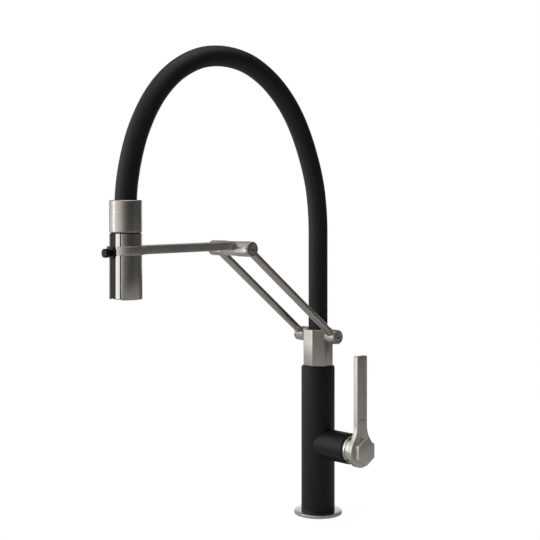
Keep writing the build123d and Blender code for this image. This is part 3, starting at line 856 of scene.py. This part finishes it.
@dataclass
class Control:
    """The side lever: cover ring, hub, lever plate and hexagon cap, with the cartridge inside."""

    shop: Workshop
    head_r: float = 0.018
    half_width: float = 0.008
    neck_r: float = 0.026
    panel_half: float = 0.006
    panel_low: float = 0.1145
    panel_high: float = 0.1795
    panel_deep: float = 0.001
    panel_slope: float = 0.00025
    tip_r: float = 0.0012
    edge: float = 0.0006
    cap_edge: float = 0.0005
    ring_bore: float = 0.0139
    hollow_r: float = 0.0249
    boss_r: float = 0.0055
    stem_r: float = 0.004
    rim: float = 0.00035

    @property
    def tilt_axis(self) -> Vector:
        """Where the lever's tilt axis crosses the cartridge's axis."""
        joint = next(each for each in frame["joints"] if each["name"] == "flow_tilt")
        return Vector(joint["pos_m"])

    @property
    def pivot(self) -> Vector:
        """The same height, over the column's axis."""
        return Vector((0.0, 0.0, self.tilt_axis.z))

    def outline(self, shape: bmesh.types.BMesh, low_x: float, tip: float) -> bmesh.types.BMFace:
        """Draw the lever's flat outline.

        Args:
            shape: Receives the outline.
            low_x: The plane it lies in.
            tip: The height of the lever's end.

        Returns:
            The flat face.
        """
        reach = self.half_width + self.neck_r
        rise = math.sqrt((self.head_r + self.neck_r) ** 2 - reach ** 2)
        swing = math.atan2(rise, reach)
        neck = Vector((low_x, reach, self.pivot.z + rise))
        corners = [(0.0, tip), (self.half_width, tip), (self.half_width, neck.z)]
        chain = [shape.verts.new((low_x, y, z)) for y, z in corners]
        for pair in zip(chain, chain[1:]):
            shape.edges.new(pair)
        across = Vector((1, 0, 0))
        bend = bmesh.ops.spin(shape, geom=[chain[-1]], cent=neck, axis=across, angle=swing,
                              steps=14, use_merge=False, use_duplicate=False)
        last = [part for part in bend["geom_last"] if isinstance(part, bmesh.types.BMVert)]
        bmesh.ops.spin(shape, geom=last, cent=self.pivot + across * low_x, axis=across,
                       angle=-(swing + math.pi / 2), steps=44, use_merge=False, use_duplicate=False)
        bmesh.ops.remove_doubles(shape, verts=shape.verts, dist=1e-7)
        bmesh.ops.mirror(shape, geom=shape.verts[:] + shape.edges[:], matrix=Matrix.Identity(4),
                         merge_dist=TINY, axis="Y")
        bmesh.ops.remove_doubles(shape, verts=shape.verts, dist=TINY)
        return bmesh.ops.contextual_create(shape, geom=shape.edges[:])["faces"][0]

    def lever(self) -> OBJECT:
        """The lever plate with rounded edges and its sunk panel.

        Returns:
            The lever.
        """
        low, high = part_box("lever")
        shape = bmesh.new()
        face = self.outline(shape, low.x, high.z)
        grown = bmesh.ops.extrude_face_region(shape, geom=[face])["geom"]
        moved = [part for part in grown if isinstance(part, bmesh.types.BMVert)]
        bmesh.ops.translate(shape, verts=moved, vec=(high.x - low.x, 0, 0))
        bmesh.ops.recalc_face_normals(shape, faces=shape.faces)
        tips = [edge for edge in shape.edges if all(v.co.z > high.z - TINY for v in edge.verts)
                and abs(edge.verts[0].co.x - edge.verts[1].co.x) > 1e-4]
        bmesh.ops.bevel(shape, geom=tips, offset=self.tip_r, offset_type="OFFSET", segments=5,
                        profile=0.5, material=-1, affect="EDGES", clamp_overlap=False)
        ease(shape, self.edge)
        cuts = (((0, self.panel_half, 0), (0, 1, 0)), ((0, -self.panel_half, 0), (0, 1, 0)),
                ((0, 0, self.panel_low), (0, 0, 1)), ((0, 0, self.panel_high), (0, 0, 1)))
        for point, normal in cuts:
            front = [f for f in shape.faces if f.normal.x > 0.999]
            parts = (front + list({edge for face in front for edge in face.edges})
                     + list({vert for face in front for vert in face.verts}))
            bmesh.ops.bisect_plane(shape, geom=parts, plane_co=point, plane_no=normal, dist=1e-7)
        panel = [f for f in shape.faces if f.normal.x > 0.999
                 and abs(f.calc_center_median().y) < self.panel_half
                 and self.panel_low < f.calc_center_median().z < self.panel_high]
        bmesh.ops.inset_region(shape, faces=panel, thickness=self.panel_slope,
                               depth=-self.panel_deep, use_even_offset=True)
        return self.shop.place("lever_plate", shape, "lever", "nickel_lever")

    def ring(self) -> OBJECT:
        """The fixed ring at the mouth of the column's side stub, in a lighter nickel that is partly
        a painted highlight.

        Returns:
            The ring.
        """
        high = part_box("cover_ring")[1]
        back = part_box("body_column")[1].x
        profile = [(self.ring_bore, back), (high.y, back),
                   (high.y, high.x), (self.ring_bore, high.x)]
        shape = spun(profile, self.pivot, Vector((1, 0, 0)), closed=True)
        ease(shape, self.rim)
        return self.shop.place("ring_turned", shape, "cover_ring", "nickel_bright")

    def hub(self) -> OBJECT:
        """The moving half of the collar, hollowed about the tilt axis, in a lighter nickel that is
        partly a painted highlight.

        Returns:
            The hub.
        """
        low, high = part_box("lever_hub")
        radii = [self.boss_r + (high.y - self.boss_r) * step / 8 for step in range(9)]
        hollow = [(r, self.tilt_axis.x + math.sqrt(self.hollow_r ** 2 - r ** 2)) for r in radii]
        profile = [*hollow, (high.y, high.x), (self.stem_r, high.x), (self.stem_r, low.x),
                   (self.boss_r, low.x)]
        shape = spun(profile, self.pivot, Vector((1, 0, 0)), closed=True)
        ease(shape, self.rim)
        return self.shop.place("hub_turned", shape, "lever_hub", "nickel_bright")

    def cap(self) -> OBJECT:
        """The hexagon cap with its edges rounded.

        Returns:
            The cap.
        """
        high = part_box("hex_cap")[1]
        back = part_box("lever")[1].x
        shape = bmesh.new()
        stand = (Matrix.Translation((back, 0, self.pivot.z)) @ Matrix.Rotation(math.pi / 2, 4, "Y")
                 @ Matrix.Rotation(math.pi / 2, 4, "Z"))
        bmesh.ops.create_circle(shape, cap_ends=True, segments=6, radius=high.y, matrix=stand)
        grown = bmesh.ops.extrude_face_region(shape, geom=shape.faces[:])["geom"]
        moved = [part for part in grown if isinstance(part, bmesh.types.BMVert)]
        bmesh.ops.translate(shape, verts=moved, vec=(high.x - back, 0, 0))
        bmesh.ops.recalc_face_normals(shape, faces=shape.faces)
        ease(shape, self.cap_edge, 4)
        return self.shop.place("hexagon_cap", shape, "hex_cap", "nickel_lever")

    def build(self) -> None:
        """Make the outside pieces and dress the cartridge."""
        self.ring()
        self.hub()
        self.lever()
        self.cap()
        for node, finish in (
                ("cartridge_seal", "seal_black"), ("cartridge_body", "acetal_white"),
                ("ceramic_disc_fixed", "ceramic_white"), ("ceramic_disc_moving", "ceramic_white"),
                ("cartridge_nut", "brass"), ("temperature_spindle", "acetal_white"),
                ("stem_cross_pin", "steel"), ("lever_stem", "steel")):
            self.shop.dress(node, finish)


@dataclass
class Linkage:
    """The swivel collar, the two lift rods with their pivots, and the arm with its ring."""

    shop: Workshop

    def build(self) -> None:
        """Round the outside pieces and dress the pins and seals."""
        self.shop.soften("swivel_collar", 0.0004, "nickel_upright", 3)
        self.shop.soften("spout_arm", 0.0005, "nickel_arm", 3)
        for side in ("right", "left"):
            self.shop.soften(f"lower_barrel_{side}", 0.0004, "nickel_cross")
            self.shop.soften(f"upper_barrel_{side}", 0.0004, "nickel_cross")
            self.shop.dress(f"link_rod_{side}", "nickel_rod")
        self.shop.soften("lower_pivot_caps", 0.0002, "nickel_cross")
        self.shop.soften("upper_pivot_caps", 0.0002, "nickel_cross")
        for node, finish in (("swivel_stem", "brass"), ("swivel_o_rings", "seal_black"),
                             ("retaining_clip", "steel"), ("thrust_washer", "dull_black"),
                             ("lower_pivot_pins", "steel"), ("upper_pivot_pin", "steel"),
                             ("hose_tail_lower", "brass")):
            self.shop.dress(node, finish)


@dataclass
class SprayHead:
    """The pull-down head: ferrule, shell, polished core, black cover, outlet and button."""

    shop: Workshop
    nozzle_rings: tuple[tuple[int, float], ...] = ((12, 0.0076), (18, 0.0104))
    nozzle_r: float = 0.0009
    nozzle_taper: float = 0.7
    nozzle_tall: float = 0.0004
    nozzle_rim: float = 0.0002
    nozzle_sides: int = 14
    plate_hole: float = 0.0059
    plate_edge: float = 0.0003

    @property
    def axis_y(self) -> float:
        """Where the head's axis stands, from the ferrule."""
        low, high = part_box("ferrule")
        return (low.y + high.y) / 2

    def outlet(self) -> OBJECT:
        """The outlet plate with its two rings of soft nozzles.

        Returns:
            The outlet plate.
        """
        low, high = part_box("nozzle_plate")
        centre = Vector((0, self.axis_y, low.z))
        hole, radius, tall = self.plate_hole, high.x, high.z - low.z
        shape = spun([(hole, 0), (radius, 0), (radius, tall), (hole, tall)],
                     centre, Vector((0, 0, 1)), closed=True, steps=96)
        ease(shape, self.plate_edge)
        for count, reach in self.nozzle_rings:
            for index in range(count):
                turn = math.tau * index / count
                spot = centre + Vector((math.cos(turn), math.sin(turn), 0)) * reach
                self.nozzle(shape, spot)
        return self.shop.place("outlet_plate", shape, "nozzle_plate", "dull_black")

    def nozzle(self, shape: bmesh.types.BMesh, spot: Vector) -> None:
        """Add one soft nozzle with a sunk mouth under the outlet plate.

        Args:
            shape: The outlet plate so far.
            spot: Where the nozzle meets the plate.
        """
        middle = spot - Vector((0, 0, self.nozzle_tall / 2))
        stand = Matrix.Translation(middle) @ Matrix.Rotation(math.pi, 4, "X")
        made = bmesh.ops.create_cone(shape, cap_ends=True, segments=self.nozzle_sides,
                                     radius1=self.nozzle_r, depth=self.nozzle_tall,
                                     radius2=self.nozzle_r * self.nozzle_taper, matrix=stand)
        tips = {face for vert in made["verts"] for face in vert.link_faces
                if all(corner.co.z < middle.z for corner in face.verts)}
        for tip in tips:
            tip.normal_update()
        bmesh.ops.inset_individual(shape, faces=list(tips), thickness=self.nozzle_rim,
                                   depth=-self.nozzle_tall)

    def spring(self) -> OBJECT:
        """The button's return spring.

        Returns:
            The spring, with a mesh of its own.
        """
        low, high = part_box("button_spring")
        push = next(each for each in frame["joints"] if each["name"] == "diverter_push")
        shape = bmesh.new()
        shape.from_mesh(frame["nodes"]["button_spring"].data)
        bmesh.ops.remove_doubles(shape, verts=shape.verts, dist=TINY)
        piece = self.shop.place("return_spring", shape, "button_spring", "steel")
        keep = 1.0 - push["range_m"][1] / (high.y - low.y)
        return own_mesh(piece)

    def build(self) -> None:
        """Make the outlet and the spring, round the shells and dress the rest."""
        self.outlet()
        self.spring()
        self.shop.soften("ferrule", 0.0003, "nickel_turned")
        self.shop.soften("spray_shell", 0.0004, "nickel_turned")
        self.shop.soften("diverter_button", 0.0005, "gloss_black", 3)
        self.shop.soften("button_bezel", 0.0002, "gloss_black")
        for node, finish in (("neck_seal", "seal_black"), ("spray_core", "polished_lands"),
                             ("channel_cover", "gloss_black"), ("aerator", "dull_black"),
                             ("check_valve", "acetal_white"), ("hose_tail_upper", "brass")):
            self.shop.dress(node, finish)


# ---- stage -----------------------------------------------------------------------------------


@dataclass
class Studio:
    """The floor, the soft lights and the camera."""

    azimuth: float = math.radians(46.2)
    distance: float = 1.255
    aside: float = 0.0548
    eye: float = 0.353
    lens: float = 73.33
    shift: float = -0.124
    sensor: float = 36.0
    near_far: tuple[float, float] = (0.01, 200.0)
    middle: tuple[float, float, float] = (0.0, -0.12, 0.28)
    lamps: tuple[tuple, ...] = (
        ("left_strip", (0.35, -1.6, 0.5), (0.16, 1.8), 3.2),
        ("top_panel", (0.1, 0.1, 1.7), (1.5, 1.5), 9.0),
        ("back_panel", (-2.6, 0.3, 0.45), (2.6, 0.8), 7.5))
    floor_r: float = 0.9
    floor_grey: float = 0.7
    floor_rough: float = 0.9
    floor_glow: float = 1.15
    glow_share: float = 0.82
    bright_side: float = 82.0
    falloff: tuple[tuple[float, float], ...] = (
        (0.0, 0.10), (0.2, 0.045), (0.40, 0.09), (0.585, 0.19), (0.73, 0.50),
        (0.91, 0.92), (1.0, 1.02))

    def toward(self, forward: float, right: float, up: float) -> Vector:
        """A point placed from where the camera stands.

        Args:
            forward: Metres from the column towards the camera.
            right: Metres to the camera's right.
            up: Height.

        Returns:
            The point in the faucet's frame.
        """
        sin, cos = math.sin(self.azimuth), math.cos(self.azimuth)
        return Vector((sin * forward + cos * right, -cos * forward + sin * right, up))

    def camera(self) -> None:
        """Level camera with a small downward shift."""
        data = bpy.data.cameras.new("camera")
        data.lens = self.lens
        data.sensor_width = self.sensor
        data.shift_y = self.shift
        data.clip_start, data.clip_end = self.near_far
        camera = bpy.data.objects.new("camera", data)
        camera.location = self.toward(self.distance, -self.aside, self.eye)
        camera.rotation_euler = (math.radians(90.0), 0.0, self.azimuth)
        bpy.context.collection.objects.link(camera)
        bpy.context.scene.camera = camera

    def panel(self, name: str, at: Vector, aim: Vector, size: tuple[float, float],
              watts: float) -> None:
        """One soft light.

        Args:
            name: The light's name.
            at: Where it hangs.
            aim: What it faces.
            size: Width and height in metres.
            watts: Its power.
        """
        data = bpy.data.lights.new(name, "AREA")
        data.shape = "RECTANGLE"
        data.size, data.size_y = size
        data.energy = watts
        light = bpy.data.objects.new(name, data)
        light.location = at
        light.visible_camera = False
        light.rotation_euler = (aim - at).to_track_quat("-Z", "Y").to_euler()
        bpy.context.collection.objects.link(light)

    def lights(self) -> None:
        """A narrow strip on the left, a broad panel above and a low one behind."""
        for name, spot, size, watts in self.lamps:
            self.panel(name, self.toward(*spot), Vector(self.middle), size, watts)

    def floor(self) -> None:
        """The pale floor, a little brighter to the camera than to the metal."""
        shape = bmesh.new()
        bmesh.ops.create_circle(shape, cap_ends=True, radius=self.floor_r, segments=96)
        mesh = bpy.data.meshes.new("floor")
        shape.to_mesh(mesh)
        shape.free()
        floor = link_mesh("floor", mesh)
        material = bpy.data.materials.new("pale_floor")
        material.use_nodes = True
        tree = material.node_tree
        shader = Shader(tree)
        surface = tree.nodes["Principled BSDF"]
        pale = Wire(tree, surface.outputs[0])
        surface.inputs["Base Color"].default_value = (*[self.floor_grey] * 3, 1.0)
        surface.inputs["Roughness"].default_value = self.floor_rough
        glow = shader.node("ShaderNodeEmission", None,
                           {"Color": (1, 1, 1, 1), "Strength": self.floor_glow})
        seen = shader.node("ShaderNodeLightPath", output="Is Camera Ray")
        mixed = shader.node("ShaderNodeMixShader", None,
                            {0: seen * self.glow_share, 1: pale, 2: glow})
        tree.links.new(mixed.socket, tree.nodes["Material Output"].inputs["Surface"])
        floor.data.materials.append(material)

    def surround(self) -> None:
        """Soft light all round, bright on the left and falling to dark on the right."""
        world = bpy.data.worlds.new("studio")
        world.use_nodes = True
        bpy.context.scene.world = world
        shader = Shader(world.node_tree)
        bright = self.azimuth - math.radians(self.bright_side)
        source = (math.sin(bright), -math.cos(bright), 0.0)
        facing = shader.node("ShaderNodeVectorMath", {"operation": "DOT_PRODUCT"},
                             {0: shader.node("ShaderNodeTexCoord", output="Generated"), 1: source},
                             output="Value")
        level = shader.ramp(facing * 0.5 + 0.5, list(self.falloff))
        soft = shader.node("ShaderNodeBackground", None, {"Color": level, "Strength": 1.0})
        white = shader.node("ShaderNodeBackground", None,
                            {"Color": (1, 1, 1, 1), "Strength": 1.0})
        seen = shader.node("ShaderNodeLightPath", output="Is Camera Ray")
        both = shader.node("ShaderNodeMixShader", None, {0: seen, 1: soft, 2: white})
        output = world.node_tree.nodes["World Output"]
        world.node_tree.links.new(both.socket, output.inputs["Surface"])

    def build(self) -> None:
        """Set the whole stage."""
        self.camera()
        self.lights()
        self.floor()
        self.surround()
        bpy.context.scene.view_settings.view_transform = "Standard"


def main() -> None:
    """Build the faucet's looks in order and report each piece."""
    logging.basicConfig(level=logging.INFO, format="%(name)s: %(message)s")
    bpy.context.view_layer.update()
    Studio().build()
    palette = Palette()
    shop = Workshop(palette)
    for assembly in (Base(shop), Control(shop), Linkage(shop), SprayHead(shop)):
        assembly.build()
    for piece in HoseArch(palette).build():
        LOG.info("built %s", piece.name)


if __name__ == "__main__":
    main()
